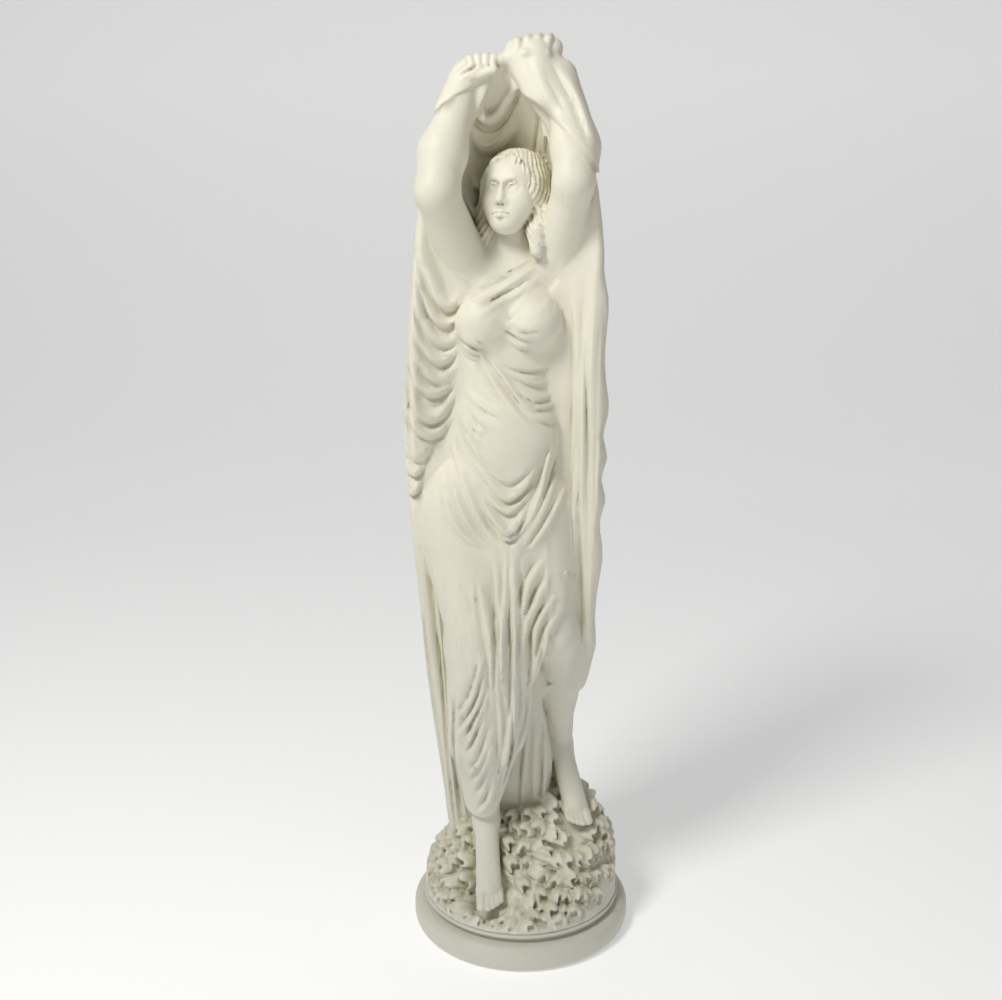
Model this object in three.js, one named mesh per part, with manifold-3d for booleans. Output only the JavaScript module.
// A standing marble figure of a woman who lifts a long veil over her head with both hands.
// She wears a thin dress held on one shoulder, stands on a mound of small curling waves, and the
// whole block rests on a separate round moulded plinth.
// Millimetres, +Z up, the figure faces -Y, and the origin is the centre of the plinth's underside.
import * as THREE from "three";
import Module from "manifold-3d";
import { triTable } from "three/addons/objects/MarchingCubes.js";
import { mergeVertices } from "three/addons/utils/BufferGeometryUtils.js";

// Driving dimensions.
const FIGURE_HEIGHT = 1826; // underside of the mound to the highest knuckle
const PLINTH_DIAMETER = 482; // over the torus
const PLINTH_HEIGHT = 74;
const TORUS_HEIGHT = 56; // the rounded moulding at the foot of the plinth
const COLLAR_DIAMETER = 436; // the flat top that the mound rests on
const COVE_DEPTH = 9; // how far the hollow between torus and collar cuts in
const FOOT_INSET = 10; // the torus curls in to the floor by this much
const SEAT_GAP = 0.3; // clearance between the mound and the plinth
const MOUND_MARGIN = 3; // the mound stands in from the collar's edge
const PLINTH_SIDES = 48;

// The figure is laid out on a drawing 1900 units high, whose mound starts 74 units up.
const DRAWING_SEAT = 74;
const DRAWING_TOP = 1900;
const UNIT = FIGURE_HEIGHT / (DRAWING_TOP - DRAWING_SEAT); // millimetres in a unit
const MOUND_RADIUS = (COLLAR_DIAMETER / 2 - MOUND_MARGIN) / UNIT;
const SAMPLE_STEP = 9; // spacing of the grid that the form is sampled on, in units
const FINE_STEP = 4.5; // its spacing in the zone that holds the face
const FINE_ZONE = [[-76, 40], [-118, -58], [1530, 1674]];
const FIGURE_TRIANGLES = 8800;
const CLOTH = 4; // thickness of the dress over the skin
const FOLD_STEPS = 7; // straight pieces in the course of one fold

const clamp = (value, low, high) => Math.min(Math.max(value, low), high);
const mix = (a, b, t) => a + (b - a) * t;
const between = (a, b, t) => a.map((value, axis) => mix(value, b[axis], t));
const ramp = (low, high, value) => {
  const t = clamp((value - low) / (high - low), 0, 1);
  return t * t * (3 - 2 * t);
};
// A repeatable number from 0 to 1, so that no two folds or waves are quite alike.
const chance = (seed) => {
  const value = Math.sin(seed * 12.9898 + 4.1) * 43758.5453;
  return value - Math.floor(value);
};

// Soft joins of distance fields.
const merge = (a, b, soft) => {
  const h = Math.max(soft - Math.abs(a - b), 0) / soft;
  return Math.min(a, b) - (h * h * soft) / 4;
};
const overlap = (a, b, soft) => -merge(-a, -b, soft);
const carve = (a, b, soft) => overlap(a, -b, soft);

// A tapered round limb from one point to another.
const limb = (from, to, fromRadius, toRadius) => {
  const [ax, ay, az] = from;
  const [dx, dy, dz] = [to[0] - ax, to[1] - ay, to[2] - az];
  const length2 = dx * dx + dy * dy + dz * dz;
  return (x, y, z) => {
    const t = clamp(((x - ax) * dx + (y - ay) * dy + (z - az) * dz) / length2, 0, 1);
    return Math.hypot(x - ax - dx * t, y - ay - dy * t, z - az - dz * t) - mix(fromRadius, toRadius, t);
  };
};

// An egg-shaped mass, turned about the upright axis and then nodded back.
const mass = (centre, radii, turnDegrees = 0, nodDegrees = 0) => {
  const [cx, cy, cz] = centre;
  const [rx, ry, rz] = radii;
  const [turn, nod] = [turnDegrees, nodDegrees].map((angle) => (angle * Math.PI) / 180);
  const [cos, sin, cosNod, sinNod] = [Math.cos(turn), Math.sin(turn), Math.cos(nod), Math.sin(nod)];
  return (x, y, z) => {
    const [sx, sy, sz] = [x - cx, y - cy, z - cz];
    const level = sy * cos - sx * sin;
    const px = sx * cos + sy * sin;
    const py = level * cosNod + sz * sinNod;
    const pz = sz * cosNod - level * sinNod;
    const near = Math.hypot(px / rx, py / ry, pz / rz);
    const steep = Math.hypot(px / (rx * rx), py / (ry * ry), pz / (rz * rz));
    return steep < 1e-9 ? -Math.min(rx, ry, rz) : (near * (near - 1)) / steep;
  };
};

const joined = (shapes, soft) => (x, y, z) => {
  let distance = shapes[0](x, y, z);
  for (let i = 1; i < shapes.length; i += 1) distance = merge(distance, shapes[i](x, y, z), soft);
  return distance;
};

// A smooth curve through a few stations [place, value], read off a fine table.
const stations = (points) => {
  const [first, last] = [points[0][0], points[points.length - 1][0]];
  const curve = new THREE.SplineCurve(points.map(([place, value]) => new THREE.Vector2(place, value)));
  const traced = curve.getPoints(300);
  const table = new Float64Array(301);
  let at = 0;
  for (let i = 0; i <= 300; i += 1) {
    const place = mix(first, last, i / 300);
    while (at < 299 && traced[at + 1].x < place) at += 1;
    const [a, b] = [traced[at], traced[at + 1]];
    table[i] = mix(a.y, b.y, clamp((place - a.x) / (b.x - a.x), 0, 1));
  }
  return (place) => {
    const t = clamp((place - first) / (last - first), 0, 1) * 300;
    const i = Math.min(Math.floor(t), 299);
    return mix(table[i], table[i + 1], t - i);
  };
};

// The head, in its own place: turned a little to her right and raised.
const HEAD_TURN = -22;
const HEAD_NOD = -10;
const HEAD = [-18, -30, 1598];
const turnRadians = (HEAD_TURN * Math.PI) / 180;
const onHead = (right, front, up) => {
  const [cos, sin] = [Math.cos(turnRadians), Math.sin(turnRadians)];
  const lean = Math.sin((HEAD_NOD * Math.PI) / 180);
  const y = -front - up * lean;
  const z = up - front * lean;
  return [HEAD[0] + right * cos - y * sin, HEAD[1] + right * sin + y * cos, HEAD[2] + z];
};
const feature = (right, front, up, radii) => mass(onHead(right, front, up), radii, HEAD_TURN, HEAD_NOD);
const skull = joined(
  [
    feature(0, -12, 12, [57, 74, 60]),
    feature(0, 20, -26, [48, 43, 50]),
    feature(0, 38, -62, [28, 24, 22]),
    feature(-27, 36, -24, [20, 20, 22]),
    feature(27, 36, -24, [20, 20, 22]),
  ],
  24,
);
const nose = joined(
  [limb(onHead(0, 60, 10), onHead(0, 69, -20), 6.5, 8), feature(0, 66, -26, [12, 9, 7])],
  9,
);
const lips = feature(0, 61, -50, [18, 8, 9]);
const sockets = joined([feature(-22, 66, 3, [16, 15, 9]), feature(22, 66, 3, [16, 15, 9])], 4);
const eyes = joined([feature(-22, 47, 0, [13, 10, 8]), feature(22, 47, 0, [13, 10, 8])], 1);
const face = (x, y, z) => {
  const bone = carve(merge(skull(x, y, z), nose(x, y, z), 9), sockets(x, y, z), 10);
  return merge(merge(bone, eyes(x, y, z), 4), lips(x, y, z), 7);
};
// Parted hair that sweeps back over the ears and falls behind the shoulders.
const sweep = (side) => {
  const strand = [
    [4, 46, 63, 5],
    [22, 50, 52, 7],
    [38, 42, 31, 8],
    [48, 24, 4, 9],
    [53, 6, -30, 9],
  ].map(([right, front, up, radius]) => [onHead(right * side, front, up), radius]);
  return strand.slice(1).map(([end, radius], i) => limb(strand[i][0], end, strand[i][1], radius));
};
const hair = joined(
  [
    feature(0, -16, 24, [65, 75, 65]),
    feature(-46, 2, 2, [20, 42, 40]),
    feature(47, 2, 2, [22, 42, 40]),
    limb(onHead(-57, -6, -12), onHead(-54, 4, -110), 21, 15),
    limb(onHead(60, -6, -12), onHead(56, 4, -110), 23, 16),
    feature(0, -66, -10, [46, 34, 46]),
  ],
  16,
);
const fringe = joined([...sweep(-1), ...sweep(1)], 5);
const headline = feature(0, 78, -14, [45, 58, 64]);
const parting = feature(0, 30, 84, [4, 70, 10]);

// The body, its weight on the left leg, with the right knee forward.
const torso = joined(
  [
    mass([-58, -12, 985], [156, 94, 112]),
    mass([-38, -16, 1140], [108, 76, 120]),
    mass([-16, -52, 1105], [78, 56, 84]),
    mass([-30, -6, 1310], [110, 80, 140]),
    mass([-28, 0, 1428], [102, 60, 58]),
    limb([-18, 6, 1440], [-16, -14, 1545], 50, 43),
  ],
  44,
);
const breasts = joined(
  [mass([-82, -66, 1346], [50, 44, 50], -12), mass([26, -66, 1350], [50, 44, 50], 12)],
  14,
);
const rightArm = joined(
  [
    limb([-112, 0, 1440], [-164, -128, 1598], 54, 40),
    limb([-164, -130, 1604], [-154, -108, 1670], 40, 45),
    limb([-154, -108, 1670], [-116, -62, 1796], 44, 28),
  ],
  22,
);
const leftArm = joined(
  [
    limb([64, 0, 1442], [95, -122, 1616], 52, 37),
    limb([95, -124, 1622], [94, -104, 1682], 37, 41),
    limb([94, -104, 1682], [68, -60, 1812], 40, 27),
  ],
  22,
);

// Each hand closes on a bunch of cloth; four fingers curl over it and the thumb shuts in front.
const hand = (palm, knuckles, tips, thumb) => {
  const parts = [limb(...palm, 25, 24), limb(...thumb, 12, 9)];
  for (let finger = 0; finger < 4; finger += 1) {
    const [knuckle, tip] = [between(...knuckles, finger / 3), between(...tips, finger / 3)];
    knuckle[2] += 5 * Math.sin((Math.PI * (finger + 0.5)) / 4);
    parts.push(limb(knuckle, tip, 10, 8));
  }
  return joined(parts, 4);
};
const rightHand = hand(
  [[-114, -58, 1806], [-84, -60, 1826]],
  [[-104, -66, 1842], [-56, -62, 1845]],
  [[-98, -88, 1832], [-58, -86, 1834]],
  [[-92, -84, 1812], [-56, -90, 1822]],
);
const leftHand = hand(
  [[66, -58, 1822], [26, -58, 1858]],
  [[-12, -64, 1874], [48, -58, 1882]],
  [[-12, -84, 1860], [42, -80, 1862]],
  [[40, -84, 1850], [2, -92, 1852]],
);

const rightLeg = joined(
  [
    limb([-128, -18, 930], [-95, -92, 712], 92, 60),
    mass([-94, -104, 700], [47, 52, 54]),
    limb([-94, -92, 680], [-76, -66, 262], 54, 29),
    mass([-100, -56, 545], [44, 50, 112]),
  ],
  26,
);
const leftLeg = joined(
  [
    limb([22, -16, 930], [64, -46, 700], 90, 54),
    mass([70, -56, 690], [44, 46, 50]),
    limb([74, -30, 670], [88, 52, 400], 48, 27),
    mass([84, 22, 580], [44, 46, 96]),
  ],
  26,
);
// A bare foot on the slope: heel, instep, ball and five toes that shorten outwards.
const foot = (ankle, heel, ball, side) => {
  const length = Math.hypot(ball[0] - heel[0], ball[1] - heel[1], ball[2] - heel[2]);
  const ahead = ball.map((value, axis) => (value - heel[axis]) / length);
  const inward = [-ahead[1] * side, ahead[0] * side, 0];
  const beside = (aside) => ball.map((value, axis) => value + inward[axis] * aside);
  const bones = [[15, 15], [0, 17], [-17, 13]];
  const instep = bones.map(([aside, thick]) => limb(ankle, beside(aside), 24, thick));
  const parts = [limb(ankle, heel, 28, 26), limb(heel, ball, 25, 20), ...instep];
  for (let toe = 0; toe < 5; toe += 1) {
    const reach = 40 - 5 * Math.abs(toe - 0.6);
    const root = beside(23 - 12.5 * toe);
    root[2] -= 5;
    const tip = root.map((value, axis) => value + ahead[axis] * reach);
    parts.push(limb(root, tip, 12 - 0.9 * toe, toe ? 8 : 10));
  }
  return joined(parts, 7);
};
const rightFoot = foot([-76, -72, 262], [-75, -54, 200], [-68, -146, 144], -1);
const leftFoot = foot([89, 44, 384], [92, 46, 334], [120, -36, 284], 1);

// The dress fills the space between the legs and round the right shin.
const skirt = joined(
  [
    limb([-36, -52, 890], [-20, -66, 640], 66, 56),
    limb([-58, -78, 650], [-40, -76, 480], 64, 50),
    limb([-88, -92, 660], [-84, -80, 460], 66, 60),
    limb([-84, -80, 460], [-74, -66, 290], 60, 37),
    limb([-14, -60, 560], [2, -54, 470], 40, 22),
    limb([24, -46, 740], [34, -48, 660], 62, 52),
  ],
  30,
);
const hem = stations([
  [-150, 320], [-100, 292], [-60, 300], [-30, 360], [5, 452], [24, 560], [50, 668], [96, 762], [140, 800],
]);
const neckline = (x, z) => z - mix(1398, 1486, (x + 137) / 182);

// The veil is one mantle that falls from the hands behind her to the mound.
const veilLeft = stations([
  [74, -150], [300, -172], [600, -206], [1000, -236], [1200, -240], [1400, -222], [1560, -206],
  [1700, -168], [1850, -108],
]);
const veilRight = stations([
  [74, 44], [400, 74], [510, 96], [570, 142], [700, 160], [1000, 168], [1250, 170], [1500, 158],
  [1650, 136], [1750, 104], [1860, 70],
]);
const veilBack = stations([
  [74, 196], [300, 186], [600, 176], [1100, 165], [1400, 148], [1600, 118], [1750, 78], [1860, 16],
]);
const veilFront = stations([
  [74, -10], [400, -24], [700, -40], [1100, -52], [1400, -66], [1600, -74], [1860, -84],
]);
const VEIL_TOP = 1848;
const VEIL_REACH = 252; // the furthest that the veil's folds stand from the upright axis
const PLEATS = 13; // folds that hang round the back, from one side to the other
// The hollow behind the head, pointed where the cloth leaves the two hands.
const niche = joined(
  [
    limb([-42, -84, 1836], [-28, -60, 1660], 8, 84),
    mass([-28, -70, 1610], [92, 112, 150]),
    mass([-28, -90, 1520], [120, 110, 150]),
  ],
  34,
);
const pleat = (angle, z) => {
  const drift = 0.5 * Math.sin(z / 310 + 0.7) + 0.35 * Math.sin(z / 140 + angle * 2.1);
  const phase = angle * PLEATS + drift + 1.1 * Math.sin(angle * 2.6 + 0.4);
  const crest = Math.pow(0.5 + 0.5 * Math.cos(phase), 0.75);
  return mix(6, 13, ramp(0, 1, 0.5 + 0.5 * Math.sin(angle * 3.7 + 1.3))) * (crest - 0.45);
};

// Folds are drawn over the front, each family between two rails of [across, up]: how many, the
// two ends of the rail they start from and of the rail they run to, their sag at mid-span at
// either end of the family, and their width and height.
const family = (count, from, to, bow, [width, height]) => ({ count, from, to, bow, width, height });
const DRESS_FOLDS = [
  // Round the neck, from the left shoulder, and slung between and under the breasts.
  family(2, [[46, 1486], [54, 1460]], [[-138, 1402], [-126, 1356]], [[0, 2], [0, -10]], [12, 7]),
  family(2, [[50, 1474], [62, 1464]], [[98, 1420], [88, 1350]], [[12, -8], [18, 0]], [12, 5]),
  family(2, [[-60, 1380], [-48, 1344]], [[46, 1348], [28, 1312]], [[0, -24], [0, -18]], [12, 5]),
  // Across the waist to either side, and slung between the hips.
  family(1, [[-82, 1300], [-82, 1300]], [[34, 1142], [34, 1142]], [[-10, -10], [-10, -10]], [15, 8]),
  family(3, [[-56, 1282], [-4, 1194]], [[68, 1270], [82, 1164]], [[6, -26], [0, -16]], [13, 6]),
  family(2, [[-138, 1230], [-132, 1192]], [[-36, 1160], [-62, 1070]], [[0, -18], [-12, -10]], [13, 5]),
  family(3, [[-114, 1112], [-84, 1000]], [[50, 1100], [20, 985]], [[0, -62], [0, -46]], [15, 8]),
  // From either hip to the parting of the legs, and down between them.
  family(2, [[-146, 1120], [-168, 1030]], [[-48, 896], [-62, 884]], [[-12, -18], [-16, -16]], [14, 7]),
  family(2, [[68, 1118], [92, 1040]], [[-14, 900], [-6, 880]], [[4, -16], [8, -10]], [14, 9]),
  family(2, [[-66, 870], [-16, 930]], [[-54, 580], [-20, 500]], [[8, 0], [-4, 0]], [14, 11]),
  family(3, [[0, 910], [84, 850]], [[6, 520], [66, 700]], [[4, 0], [22, -10]], [14, 9]),
  // Round the right shin and beside it.
  family(5, [[-76, 680], [-48, 440]], [[-146, 510], [-96, 300]], [[8, -8], [9, -10]], [14, 9]),
  family(2, [[-44, 640], [-14, 620]], [[-60, 330], [-44, 350]], [[12, 0], [18, 0]], [13, 9]),
];
const VEIL_FOLDS = [
  // Slung under the right arm and beside the hip, and the falls below them.
  family(5, [[-206, 1520], [-236, 1190]], [[-120, 1410], [-146, 1180]], [[0, -72], [0, -54]], [18, 14]),
  family(2, [[-238, 1130], [-246, 1060]], [[-190, 1130], [-212, 1050]], [[0, -44], [0, -36]], [16, 12]),
  family(3, [[-226, 960], [-176, 900]], [[-164, 150], [-112, 150]], [[-10, 0], [-4, 0]], [14, 11]),
  family(1, [[-200, 1590], [-200, 1590]], [[-232, 1000], [-232, 1000]], [[-8, 0], [-8, 0]], [16, 11]),
  // Under the left arm, and the part behind the legs.
  family(3, [[96, 1440], [150, 1560]], [[104, 600], [152, 640]], [[14, 0], [-6, 0]], [17, 10]),
  family(3, [[14, 520], [66, 480]], [[0, 220], [62, 240]], [[0, 0], [4, 0]], [12, 8]),
];
const HOOD_FOLDS = [
  family(4, [[-96, 1790], [-118, 1560]], [[4, 1830], [-30, 1560]], [[-20, -70], [0, -60]], [19, 15]),
];
const FLAP_FOLDS = [
  family(3, [[-30, 1846], [56, 1842]], [[94, 1692], [138, 1664]], [[-16, -30], [8, 6]], [13, 6]),
];
const CUFF_FOLDS = [
  family(2, [[-56, 1836], [-50, 1824]], [[-136, 1808], [-96, 1796]], [[0, 4], [0, 2]], [11, 5]),
];
const foldsFrom = (families) =>
  families.flatMap(({ count, from, to, bow, width, height }, number) =>
    Array.from({ length: count }, (_, i) => {
      const t = count > 1 ? i / (count - 1) : 0.5;
      const vary = mix(0.8, 1.2, chance(number * 17 + i));
      const [start, end] = [between(...from, t), between(...to, t)];
      const [first, last] = [0.1 * chance(i + 3), 1 - 0.1 * chance(i + 9)];
      const sag = between(...bow, t).map((value) => value * vary);
      const course = Array.from({ length: FOLD_STEPS + 1 }, (__, step) => {
        const u = step / FOLD_STEPS;
        const straight = between(start, end, mix(first, last, u));
        return straight.map((value, axis) => value + sag[axis] * 4 * u * (1 - u));
      });
      const [xs, zs] = [0, 1].map((axis) => course.map((point) => point[axis]));
      const box = [Math.min(...xs), Math.max(...xs), Math.min(...zs), Math.max(...zs)];
      return { course, width: width * vary, height: height * vary, box };
    }),
  );
const dressFolds = foldsFrom(DRESS_FOLDS);
const veilFolds = foldsFrom(VEIL_FOLDS);
const hoodFolds = foldsFrom(HOOD_FOLDS);
const flapFolds = foldsFrom(FLAP_FOLDS);
const cuffFolds = foldsFrom(CUFF_FOLDS);

// How far a set of folds lifts the cloth at a place on the front: a crest with a groove under it.
const LIFT_LIMITS = [-9, 15];
const liftOf = (folds, x, z) => {
  let lift = 0;
  for (const { course, width, height, box } of folds) {
    const room = width * 2;
    if (x < box[0] - room || x > box[1] + room || z < box[2] - room || z > box[3] + room) continue;
    let [nearest, along, side] = [Infinity, 0, 1];
    for (let i = 0; i < FOLD_STEPS; i += 1) {
      const [[ax, az], [bx, bz]] = [course[i], course[i + 1]];
      const [dx, dz] = [bx - ax, bz - az];
      const t = clamp(((x - ax) * dx + (z - az) * dz) / (dx * dx + dz * dz), 0, 1);
      const [ox, oz] = [x - ax - dx * t, z - az - dz * t];
      const away = Math.hypot(ox, oz);
      if (away >= nearest) continue;
      [nearest, along] = [away, (i + t) / FOLD_STEPS];
      side = Math.sign(dx * oz - dz * ox) || 1;
    }
    const fade = Math.sin(Math.PI * clamp(along, 0, 1)) ** 0.6;
    const reach = width * (side > 0 ? 1.35 : 0.9);
    const crest = Math.max(1 - (nearest / reach) ** 2, 0) ** 2;
    const groove = Math.max(1 - ((nearest - width) / (width * 0.7)) ** 2, 0) ** 2;
    lift += height * fade * (crest - (side < 0 ? 0.6 : 0.15) * groove);
  }
  return clamp(lift, ...LIFT_LIMITS);
};

// The veil's front stands forward at its two edges, and back behind the left leg.
const frontOf = (x, z) => {
  const edges = 22 * ramp(110, 190, Math.abs(x + 34)) * ramp(700, 1000, z);
  const besideLeg = x - mix(92, 44, (z - 200) / 300);
  return veilFront(z) - edges + 90 * ramp(0, 16, besideLeg) * ramp(560, 480, z);
};
const veil = (x, y, z) => {
  const [left, right, back, front] = [veilLeft(z), veilRight(z), veilBack(z), frontOf(x, z)];
  const [middle, half, deep] = [(left + right) / 2, (right - left) / 2, back - front];
  const across = (x - middle) / half;
  const behind = Math.max(y - front, 0) / deep;
  const ring = (Math.hypot(across, behind) - 1) * Math.min(half, deep);
  if (ring > 60) return ring;
  const wrap = Math.atan2(behind, across);
  const folded = ring - pleat(wrap, z) * ramp(0.06, 0.3, behind);
  const lift = Math.abs(front - y) < 60 ? liftOf(veilFolds, x, z) : 0;
  const faced = overlap(folded, front - y - lift, 24);
  return overlap(faced, z - VEIL_TOP + Math.abs(x + 28) * 0.15, 26);
};

// The cloth that the right hand holds lies over its wrist, down to a slanting edge.
const wrist = mass([-96, -58, 1820], [40, 32, 30]);
const rightCuff = (x, y, z) => {
  let sleeve = merge(rightArm(x, y, z) - 6, wrist(x, y, z), 16);
  if (y < -30 && Math.abs(sleeve) < 30) sleeve -= liftOf(cuffFolds, x, z);
  return overlap(sleeve, 1800 + 0.62 * (x + 87) - z, 6);
};
// The cloth from the left hand falls over the forearm to the elbow, past an edge that sags.
const flapWeb = joined(
  [limb([22, -64, 1850], [40, -92, 1770], 34, 26), limb([-14, -70, 1846], [24, -90, 1776], 22, 18)],
  16,
);
const leftFlap = (x, y, z) => {
  let sheet = merge(leftArm(x, y, z) - 8, flapWeb(x, y, z), 22);
  if (y < -40 && Math.abs(sheet) < 30) sheet -= liftOf(flapFolds, x, z);
  const bay = 24 * Math.exp(-(((x + 12) / 34) ** 2));
  return overlap(sheet, 1847 - 1.159 * (x + 44) - bay - z, 6);
};
// Cloth gathers between the two hands.
const bunches = joined(
  [
    limb([-96, -56, 1820], [-44, -72, 1840], 22, 12),
    limb([-44, -72, 1842], [10, -62, 1856], 12, 24),
    limb([-16, -60, 1862], [54, -56, 1864], 20, 20),
  ],
  10,
);

// The mound climbs from the right foot in front to the left foot behind, and sinks under each.
const FOOT_HOLLOWS = [
  { x: -72, y: -112, deep: 56, wide: 58, long: 84 },
  { x: 122, y: -44, deep: 30, wide: 48, long: 62 },
];
const MARGIN_HEIGHT = 6; // the thin flat rim round the waves
const moundTop = (x, y) => {
  const out = Math.min(Math.hypot(x, y) / MOUND_RADIUS, 1);
  const crest = mix(112, 262, ramp(-180, -20, y)) + 0.24 * x;
  const round = mix(3, 5, ramp(-180, 0, y)) * (1 - 0.4 * ramp(-20, -170, x));
  let top = DRAWING_SEAT + MARGIN_HEIGHT + Math.max(crest - DRAWING_SEAT, 20) * (1 - out ** round);
  for (const hollow of FOOT_HOLLOWS) {
    const [aside, along] = [(x - hollow.x) / hollow.wide, (y - hollow.y) / hollow.long];
    top -= hollow.deep * Math.exp(-(aside ** 2) - along ** 2);
  }
  return Math.max(top, DRAWING_SEAT + MARGIN_HEIGHT);
};
// Small waves are scattered evenly over it, each a broad tongue that curls over to one side of
// the way down the slope. None stands where a foot does.
const WAVE_COUNT = 130;
const WAVE_SIZE = [19, 26];
const GOLDEN_ANGLE = Math.PI * (3 - Math.sqrt(5));
const FOOTPRINTS = [
  { x: -70, y: -114, wide: 38, long: 68 },
  { x: 114, y: -10, wide: 36, long: 66 },
];
const clearOfFeet = ({ x, y }) =>
  FOOTPRINTS.every((print) => Math.hypot((x - print.x) / print.wide, (y - print.y) / print.long) > 1);
const waveAt = (number) => {
  const angle = number * GOLDEN_ANGLE;
  const away = 0.93 * MOUND_RADIUS * (number / WAVE_COUNT) ** 0.46;
  return { number, x: away * Math.cos(angle), y: away * Math.sin(angle) };
};
const carvedWave = ({ number, x, y }) => {
  const size = mix(...WAVE_SIZE, chance(number + 3));
  const side = chance(number + 13) < 0.5 ? -1 : 1;
  const angle = Math.atan2(y - 60, x) + side * mix(0.3, 1.2, chance(number + 17));
  const [cos, sin] = [Math.cos(angle), Math.sin(angle)];
  const [z, turn] = [moundTop(x, y) - 3, (angle * 180) / Math.PI];
  const hump = mass([x - cos * 4, y - sin * 4, z], [size * 0.7, size, size * 1.2], turn);
  const tip = [x + cos * size * 0.6, y + sin * size * 0.6, z + size * 0.65];
  const curl = mass(tip, [size * 0.62, size * 0.85, size * 0.45], turn);
  return { x, y, z, room: size * 2.4, tongue: joined([hump, curl], 5) };
};
const scattered = Array.from({ length: WAVE_COUNT }, (_, i) => waveAt(i + 1));
const waves = scattered.filter(clearOfFeet).map(carvedWave);
const mound = (x, y, z) => {
  const radius = Math.hypot(x, y);
  const top = (z - moundTop(x, y)) * 0.7;
  let distance = Math.max(top, radius - MOUND_RADIUS);
  if (distance > 60) return distance;
  for (const wave of waves) {
    const aside = Math.max(Math.abs(x - wave.x), Math.abs(y - wave.y), Math.abs(z - wave.z));
    if (aside < wave.room) distance = merge(distance, wave.tongue(x, y, z), 7);
  }
  return Math.max(distance, radius - MOUND_RADIUS);
};

const figureField = (x, y, z) => {
  const trunk = torso(x, y, z);
  let skin = merge(trunk, merge(rightArm(x, y, z), leftArm(x, y, z), 5), 32);
  let dress = merge(trunk, breasts(x, y, z), 26);
  skin = merge(skin, breasts(x, y, z), 26);
  const legs = merge(rightLeg(x, y, z), leftLeg(x, y, z), 20);
  skin = merge(skin, legs, 40);
  dress = merge(merge(dress, legs, 40), skirt(x, y, z), 28) - CLOTH;
  if (Math.abs(dress) < 40 && y < 20) dress -= liftOf(dressFolds, x, z) * ramp(20, -30, y);
  dress = overlap(overlap(dress, neckline(x, z), 4), hem(x) - z, 6);
  skin = merge(skin, merge(rightFoot(x, y, z), leftFoot(x, y, z), 4), 12);
  const locks = carve(carve(hair(x, y, z), headline(x, y, z), 5), parting(x, y, z), 5);
  const head = merge(face(x, y, z), merge(locks, fringe(x, y, z), 4), 3);
  let body = merge(merge(skin, dress, 5), head, 8);
  body = merge(body, merge(rightHand(x, y, z), leftHand(x, y, z), 4), 4);
  const held = merge(merge(leftFlap(x, y, z), rightCuff(x, y, z), 4), bunches(x, y, z), 8);
  body = merge(body, held, 3);
  let hollow = niche(x, y, z);
  if (Math.abs(hollow) < 40 && y > -60) hollow += liftOf(hoodFolds, x, z);
  const cloth = carve(veil(x, y, z), hollow, 14);
  return Math.max(merge(merge(body, cloth, 8), mound(x, y, z), 8), DRAWING_SEAT - 12 - z);
};

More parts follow.
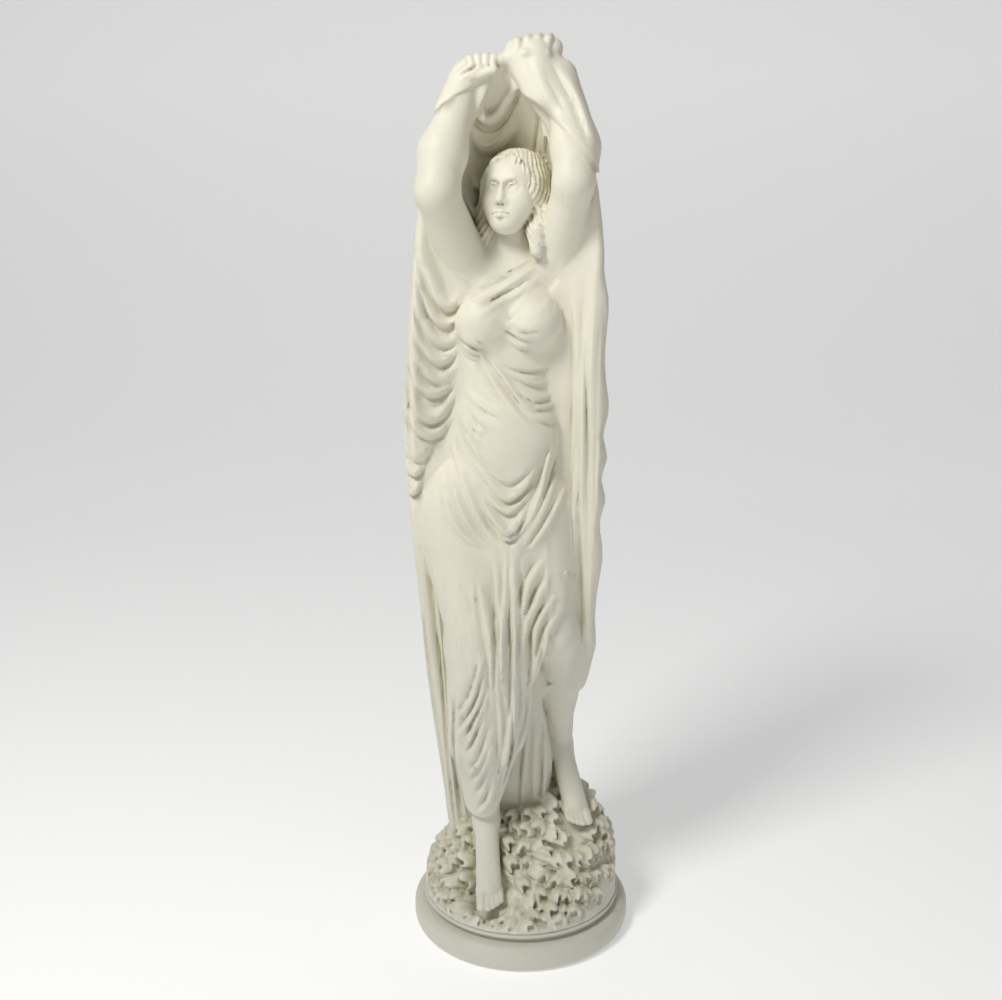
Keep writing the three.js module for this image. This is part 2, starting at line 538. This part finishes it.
// Marching cubes over a grid, with corner values kept off zero so that no triangle is a sliver.
const CORNERS = [[0, 0, 0], [1, 0, 0], [1, 1, 0], [0, 1, 0], [0, 0, 1], [1, 0, 1], [1, 1, 1], [0, 1, 1]];
const SQUARES = [[0, 1], [1, 2], [2, 3], [3, 0], [4, 5], [5, 6], [6, 7], [7, 4]];
const EDGES = [...SQUARES, [0, 4], [1, 5], [2, 6], [3, 7]];
const gridLine = (low, high, [fineLow, fineHigh]) => {
  const places = [low];
  for (let place = low; place < high; places.push(place))
    place += place >= fineLow && place < fineHigh ? FINE_STEP : SAMPLE_STEP;
  return places;
};
const polygonise = (field, low, high) => {
  const grid = low.map((start, axis) => gridLine(start, high[axis], FINE_ZONE[axis]));
  const [nx, ny, nz] = grid.map((places) => places.length);
  const values = new Float32Array(nx * ny * nz);
  const index = (i, j, k) => i + nx * (j + ny * k);
  const far = 4; // cells: blocks of this size that lie well away from the form are skipped
  const reach = far * SAMPLE_STEP * 1.5;
  const least = FINE_STEP * 0.06;
  for (let k0 = 0; k0 < nz; k0 += far)
    for (let j0 = 0; j0 < ny; j0 += far)
      for (let i0 = 0; i0 < nx; i0 += far) {
        const middle = [i0, j0, k0].map((n, axis) => grid[axis][n + far / 2] ?? high[axis]);
        const rough = field(...middle);
        const skip = Math.abs(rough) > reach;
        for (let k = k0; k < Math.min(k0 + far, nz); k += 1)
          for (let j = j0; j < Math.min(j0 + far, ny); j += 1)
            for (let i = i0; i < Math.min(i0 + far, nx); i += 1) {
              const value = skip ? rough : field(grid[0][i], grid[1][j], grid[2][k]);
              values[index(i, j, k)] = Math.abs(value) < least ? (value < 0 ? -least : least) : value;
            }
      }
  const points = [];
  const faces = [];
  const made = new Map();
  const vertexOn = (i, j, k, edge) => {
    const [ca, cb] = EDGES[edge].map((c) => CORNERS[c]);
    const a = index(i + ca[0], j + ca[1], k + ca[2]);
    const b = index(i + cb[0], j + cb[1], k + cb[2]);
    const key = Math.min(a, b) * 3 + (Math.abs(a - b) === 1 ? 0 : Math.abs(a - b) === nx ? 1 : 2);
    if (!made.has(key)) {
      const t = values[a] / (values[a] - values[b]);
      made.set(key, points.length / 3);
      [i, j, k].forEach((n, axis) => points.push(mix(grid[axis][n + ca[axis]], grid[axis][n + cb[axis]], t)));
    }
    return made.get(key);
  };
  for (let k = 0; k < nz - 1; k += 1)
    for (let j = 0; j < ny - 1; j += 1)
      for (let i = 0; i < nx - 1; i += 1) {
        let cell = 0;
        for (let bit = 0; bit < 8; bit += 1) {
          const [a, b, c] = CORNERS[bit];
          if (values[index(i + a, j + b, k + c)] < 0) cell |= 1 << bit;
        }
        for (let n = cell * 16; triTable[n] !== -1; n += 3)
          for (const turn of [0, 2, 1]) faces.push(vertexOn(i, j, k, triTable[n + turn]));
      }
  return { points, faces };
};

// Keeps the outermost skin alone, so that a pocket shut inside the block is filled.
const outerSkin = ({ points, faces }) => {
  const leader = Int32Array.from({ length: points.length / 3 }, (_, vertex) => vertex);
  const leaderOf = (vertex) => {
    let at = vertex;
    while (leader[at] !== at) {
      leader[at] = leader[leader[at]];
      at = leader[at];
    }
    return at;
  };
  for (let i = 0; i < faces.length; i += 3)
    for (const other of [faces[i + 1], faces[i + 2]]) leader[leaderOf(other)] = leaderOf(faces[i]);
  const sizes = new Map();
  for (const vertex of faces) sizes.set(leaderOf(vertex), (sizes.get(leaderOf(vertex)) ?? 0) + 1);
  const [largest] = [...sizes].reduce((best, skin) => (skin[1] > best[1] ? skin : best));
  return { points, faces: faces.filter((vertex) => leaderOf(vertex) === largest) };
};

// A heap of offers, cheapest first.
class OfferHeap {
  constructor() {
    this.items = [];
  }
  push(item) {
    const { items } = this;
    let at = items.push(item) - 1;
    while (at > 0) {
      const parent = (at - 1) >> 1;
      if (items[parent].cost <= item.cost) break;
      items[at] = items[parent];
      at = parent;
    }
    items[at] = item;
  }
  pop() {
    const { items } = this;
    const best = items[0];
    const last = items.pop();
    if (!items.length) return best;
    let at = 0;
    for (;;) {
      let child = 2 * at + 1;
      if (child >= items.length) break;
      if (child + 1 < items.length && items[child + 1].cost < items[child].cost) child += 1;
      if (items[child].cost >= last.cost) break;
      items[at] = items[child];
      at = child;
    }
    items[at] = last;
    return best;
  }
}

// Collapses edges, least change first, until the mesh is down to a number of triangles. Flat
// stretches end up with large facets, and what has more worth keeps smaller ones.
const simplify = ({ points, faces }, wanted, worth) => {
  const place = Float64Array.from(points);
  const corner = Int32Array.from(faces);
  const vertices = place.length / 3;
  const fans = Array.from({ length: vertices }, () => []);
  for (let i = 0; i < corner.length; i += 1) fans[corner[i]].push(Math.floor(i / 3));
  const normal = new Float64Array(3);
  // The normal of a face, as if one of its vertices stood somewhere else.
  const at = new Float64Array(9);
  const faceNormal = (face, moved, x, y, z) => {
    for (let i = 0; i < 3; i += 1) {
      const vertex = corner[face * 3 + i];
      at[i * 3] = vertex === moved ? x : place[vertex * 3];
      at[i * 3 + 1] = vertex === moved ? y : place[vertex * 3 + 1];
      at[i * 3 + 2] = vertex === moved ? z : place[vertex * 3 + 2];
    }
    const [ux, uy, uz] = [at[3] - at[0], at[4] - at[1], at[5] - at[2]];
    const [vx, vy, vz] = [at[6] - at[0], at[7] - at[1], at[8] - at[2]];
    normal[0] = uy * vz - uz * vy;
    normal[1] = uz * vx - ux * vz;
    normal[2] = ux * vy - uy * vx;
    return Math.hypot(normal[0], normal[1], normal[2]);
  };
  // Each vertex's sum of squared distances to its planes, as ten terms of a symmetric matrix.
  const errors = new Float64Array(vertices * 10);
  for (let face = 0; face < corner.length / 3; face += 1) {
    const area = faceNormal(face, -1, 0, 0, 0);
    if (area < 1e-12) continue;
    const [nx, ny, nz] = [normal[0] / area, normal[1] / area, normal[2] / area];
    const d = -(nx * at[0] + ny * at[1] + nz * at[2]);
    const weight = area * worth(at[0], at[1], at[2]);
    const terms = [nx * nx, nx * ny, nx * nz, nx * d, ny * ny, ny * nz, ny * d, nz * nz, nz * d, d * d];
    for (let i = 0; i < 3; i += 1) {
      const start = corner[face * 3 + i] * 10;
      for (let term = 0; term < 10; term += 1) errors[start + term] += terms[term] * weight;
    }
  }
  const q = new Float64Array(10);
  const errorAt = (x, y, z) =>
    q[0] * x * x + 2 * q[1] * x * y + 2 * q[2] * x * z + 2 * q[3] * x + q[4] * y * y +
    2 * q[5] * y * z + 2 * q[6] * y + q[7] * z * z + 2 * q[8] * z + q[9];
  const stamp = new Int32Array(vertices);
  const heap = new OfferHeap();
  const offer = (a, b) => {
    for (let term = 0; term < 10; term += 1) q[term] = errors[a * 10 + term] + errors[b * 10 + term];
    const [ax, ay, az] = [place[a * 3], place[a * 3 + 1], place[a * 3 + 2]];
    const [bx, by, bz] = [place[b * 3], place[b * 3 + 1], place[b * 3 + 2]];
    let [x, y, z] = [(ax + bx) / 2, (ay + by) / 2, (az + bz) / 2];
    const span2 = (ax - bx) ** 2 + (ay - by) ** 2 + (az - bz) ** 2;
    const [m0, m1, m2] = [q[4] * q[7] - q[5] * q[5], q[2] * q[5] - q[1] * q[7], q[1] * q[5] - q[2] * q[4]];
    const det = q[0] * m0 + q[1] * m1 + q[2] * m2;
    if (Math.abs(det) > 1e-5 * (q[0] + q[4] + q[7]) ** 3) {
      const sx = -(m0 * q[3] + m1 * q[6] + m2 * q[8]) / det;
      const sy = -(m1 * q[3] + (q[0] * q[7] - q[2] * q[2]) * q[6] + (q[1] * q[2] - q[0] * q[5]) * q[8]) / det;
      const sz = -(m2 * q[3] + (q[1] * q[2] - q[0] * q[5]) * q[6] + (q[0] * q[4] - q[1] * q[1]) * q[8]) / det;
      if ((sx - x) ** 2 + (sy - y) ** 2 + (sz - z) ** 2 < span2) [x, y, z] = [sx, sy, sz];
    }
    heap.push({ cost: errorAt(x, y, z) + 1e-4 * span2, a, b, x, y, z, stampA: stamp[a], stampB: stamp[b] });
  };
  const mark = new Int32Array(vertices).fill(-1);
  let round = 0;
  const around = (vertex) => {
    const found = [];
    round += 1;
    mark[vertex] = round;
    for (const face of fans[vertex])
      for (let i = 0; i < 3; i += 1) {
        const other = corner[face * 3 + i];
        if (mark[other] === round) continue;
        mark[other] = round;
        found.push(other);
      }
    return found;
  };
  for (let vertex = 0; vertex < vertices; vertex += 1)
    for (const other of around(vertex)) if (other > vertex) offer(vertex, other);
  const has = (face, vertex) =>
    corner[face * 3] === vertex || corner[face * 3 + 1] === vertex || corner[face * 3 + 2] === vertex;
  const turnsOver = (vertex, other, x, y, z) => {
    for (const face of fans[vertex]) {
      if (has(face, other)) continue;
      const before = faceNormal(face, -1, 0, 0, 0);
      const [nx, ny, nz] = normal;
      const after = faceNormal(face, vertex, x, y, z);
      if (nx * normal[0] + ny * normal[1] + nz * normal[2] < 0.35 * before * after) return true;
    }
    return false;
  };
  let left = corner.length / 3;
  while (left > wanted && heap.items.length) {
    const { a, b, x, y, z, stampA, stampB } = heap.pop();
    if (stamp[a] !== stampA || stamp[b] !== stampB) continue;
    const near = around(a);
    const nearB = around(b);
    const shared = near.filter((vertex) => mark[vertex] === round && vertex !== b).length;
    if (shared !== 2 || turnsOver(a, b, x, y, z) || turnsOver(b, a, x, y, z)) continue;
    place.set([x, y, z], a * 3);
    for (let term = 0; term < 10; term += 1) errors[a * 10 + term] += errors[b * 10 + term];
    for (const face of fans[b]) {
      if (has(face, a)) {
        for (let i = 0; i < 3; i += 1) {
          const vertex = corner[face * 3 + i];
          if (vertex !== b) fans[vertex] = fans[vertex].filter((other) => other !== face);
        }
        corner[face * 3] = -1;
        left -= 1;
      } else {
        for (let i = 0; i < 3; i += 1) if (corner[face * 3 + i] === b) corner[face * 3 + i] = a;
        fans[a].push(face);
      }
    }
    fans[b] = [];
    stamp[b] = -1;
    stamp[a] += 1;
    for (const other of around(a)) offer(a, other);
  }
  const geometry = new THREE.BufferGeometry();
  geometry.setAttribute("position", new THREE.Float32BufferAttribute(place, 3));
  const kept = [];
  for (let i = 0; i < corner.length; i += 3)
    if (corner[i] >= 0) kept.push(corner[i], corner[i + 1], corner[i + 2]);
  geometry.setIndex(kept);
  return geometry;
};

const wasm = await Module();
wasm.setup();
const solidFrom = (geometry) => {
  const bare = geometry.clone();
  bare.deleteAttribute("normal");
  bare.deleteAttribute("uv");
  const welded = bare.index && !geometry.getAttribute("normal") ? bare : mergeVertices(bare, 1e-3);
  return new wasm.Manifold(
    new wasm.Mesh({
      numProp: 3,
      vertProperties: new Float32Array(welded.getAttribute("position").array),
      triVerts: new Uint32Array(welded.index.array),
    }),
  );
};
const geometryFrom = (solid) => {
  const { vertProperties, triVerts } = solid.getMesh();
  const geometry = new THREE.BufferGeometry();
  geometry.setAttribute("position", new THREE.BufferAttribute(vertProperties, 3));
  geometry.setIndex(new THREE.BufferAttribute(triVerts, 1));
  geometry.computeVertexNormals();
  return geometry;
};

// The face and the hands keep the finest facets, the back and the mound the broadest.
const worthOf = (x, y, z) => {
  if (z > 1500 && y < -20) return x > -100 && x < 45 ? 12 : 3;
  return y > 30 || z < 300 ? 0.5 : 1;
};

// The figure, its veil and its mound are one block, cut flat below where it sits on the plinth.
const figureGeometry = () => {
  const half = Math.max(MOUND_RADIUS, VEIL_REACH) + 2 * SAMPLE_STEP;
  const top = Math.max(DRAWING_TOP, VEIL_TOP) + 2 * SAMPLE_STEP;
  const low = [-half, -half, DRAWING_SEAT - 22];
  const sampled = outerSkin(polygonise(figureField, low, [half, half, top]));
  const form = simplify(sampled, FIGURE_TRIANGLES, worthOf);
  form.translate(0, 0, -DRAWING_SEAT);
  form.scale(UNIT, UNIT, UNIT);
  const below = new THREE.BoxGeometry(2 * PLINTH_DIAMETER, 2 * PLINTH_DIAMETER, PLINTH_DIAMETER);
  below.translate(0, 0, -PLINTH_DIAMETER / 2);
  return geometryFrom(solidFrom(form).subtract(solidFrom(below)));
};

// The plinth is turned: a torus, a cove and a flat collar.
const plinthGeometry = () => {
  const torusRadius = TORUS_HEIGHT / 2;
  const rim = PLINTH_DIAMETER / 2;
  const collar = COLLAR_DIAMETER / 2;
  const profile = [new THREE.Vector2(0, 0), new THREE.Vector2(rim - FOOT_INSET, 0)];
  const steps = 6;
  for (let i = 1; i <= steps; i += 1) {
    const angle = mix(-80, 80, i / (steps + 1)) * (Math.PI / 180);
    const out = rim - FOOT_INSET * (1 - Math.cos(angle)) * 1.2;
    profile.push(new THREE.Vector2(out, torusRadius * (1 + Math.sin(angle))));
  }
  profile.push(new THREE.Vector2(collar - COVE_DEPTH, TORUS_HEIGHT));
  profile.push(new THREE.Vector2(collar - COVE_DEPTH, PLINTH_HEIGHT - 8));
  profile.push(new THREE.Vector2(collar, PLINTH_HEIGHT - 5));
  profile.push(new THREE.Vector2(collar, PLINTH_HEIGHT), new THREE.Vector2(0, PLINTH_HEIGHT));
  return new THREE.LatheGeometry(profile, PLINTH_SIDES).rotateX(Math.PI / 2);
};

const marble = new THREE.MeshStandardMaterial({ name: "marble", color: 0xdedccb, roughness: 0.55 });
const statue = new THREE.Group();
const plinth = new THREE.Mesh(plinthGeometry(), marble.clone());
plinth.name = "plinth";
const figure = new THREE.Mesh(figureGeometry(), marble);
figure.name = "figure";
figure.position.z = PLINTH_HEIGHT + SEAT_GAP;
statue.add(plinth, figure);

export default statue;
